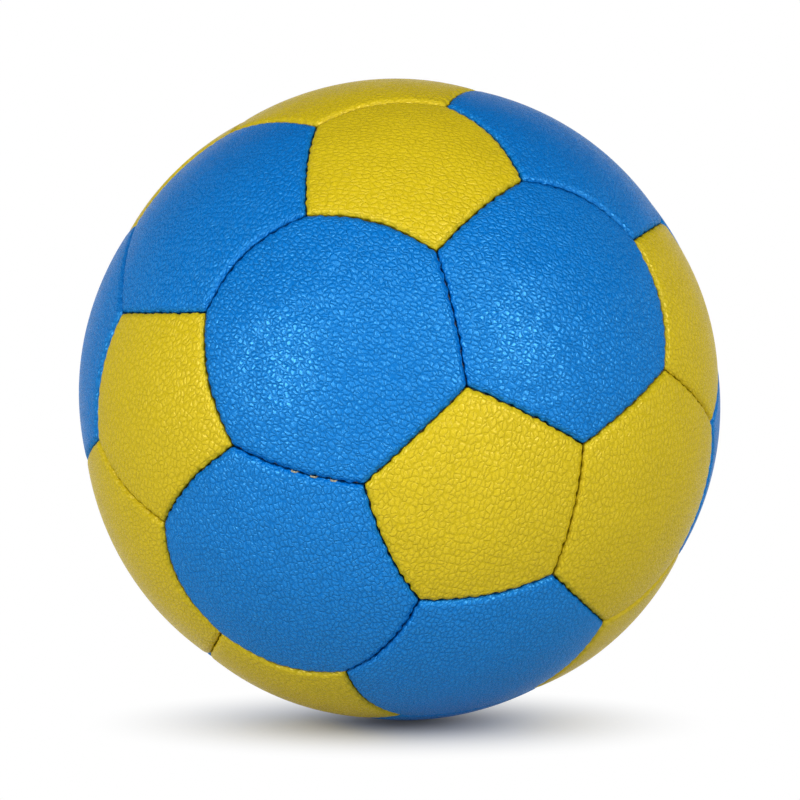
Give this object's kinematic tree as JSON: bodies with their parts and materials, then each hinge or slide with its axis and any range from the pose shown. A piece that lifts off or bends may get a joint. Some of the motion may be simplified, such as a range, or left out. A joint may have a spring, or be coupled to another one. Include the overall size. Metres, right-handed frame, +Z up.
{
  "type": "handball",
  "caption": "Round sewn ball of pentagon and hexagon panels in pebbled synthetic leather, over foam, cloth lining and an air bladder with a needle valve.",
  "frame": {"origin": "the ball's centre", "axes": "+Z up as the ball stands in the picture, +Y away from the viewer; the valve is at the back, 16 degrees below the level of the centre"},
  "size_m": [0.1874, 0.1866, 0.1876],
  "materials": {
    "yellow_leather": "satin",
    "blue_leather": "satin",
    "foam": "matte",
    "lining_cloth": "matte",
    "waxed_twine": "satin",
    "latex": "satin",
    "patch_rubber": "matte",
    "valve_rubber": "satin",
    "core_rubber": "satin"
  },
  "bodies": {
    "ball": {"pentagon_panel_01": "yellow_leather", "pentagon_panel_02": "yellow_leather", "pentagon_panel_03": "yellow_leather", "pentagon_panel_04": "yellow_leather", "pentagon_panel_05": "yellow_leather", "pentagon_panel_06": "yellow_leather", "pentagon_panel_07": "yellow_leather", "pentagon_panel_08": "yellow_leather", "pentagon_panel_09": "yellow_leather", "pentagon_panel_10": "yellow_leather", "pentagon_panel_11": "yellow_leather", "pentagon_panel_12": "yellow_leather", "hexagon_panel_01": "blue_leather", "hexagon_panel_02": "blue_leather", "hexagon_panel_03": "yellow_leather", "hexagon_panel_04": "blue_leather", "hexagon_panel_05": "blue_leather", "hexagon_panel_06": "yellow_leather", "hexagon_panel_07": "blue_leather", "hexagon_panel_08": "blue_leather", "hexagon_panel_09": "blue_leather", "hexagon_panel_10": "blue_leather", "hexagon_panel_11": "blue_leather", "hexagon_panel_12": "blue_leather", "hexagon_panel_13": "blue_leather", "hexagon_panel_14": "blue_leather", "hexagon_panel_15": "yellow_leather", "hexagon_panel_16": "blue_leather", "hexagon_panel_17": "blue_leather", "hexagon_panel_18": "yellow_leather", "hexagon_panel_19": "blue_leather", "hexagon_panel_20": "blue_leather", "pentagon_foams": "foam", "hexagon_foams": "foam", "pentagon_linings": "lining_cloth", "hexagon_linings": "lining_cloth", "pentagon_seam_threads": "waxed_twine", "hexagon_seam_threads": "waxed_twine", "bladder": "latex", "valve_patch": "patch_rubber", "balance_patch": "patch_rubber", "valve_sleeve": "valve_rubber"},
    "valve_core": {"valve_core": "core_rubber"}
  },
  "joints": [
    {"name": "valve_core_slide", "type": "slide", "parent": "ball", "child": "valve_core", "axis": [0.2046, 0.9388, -0.2771], "range_m": [0, 0.02]}
  ]
}
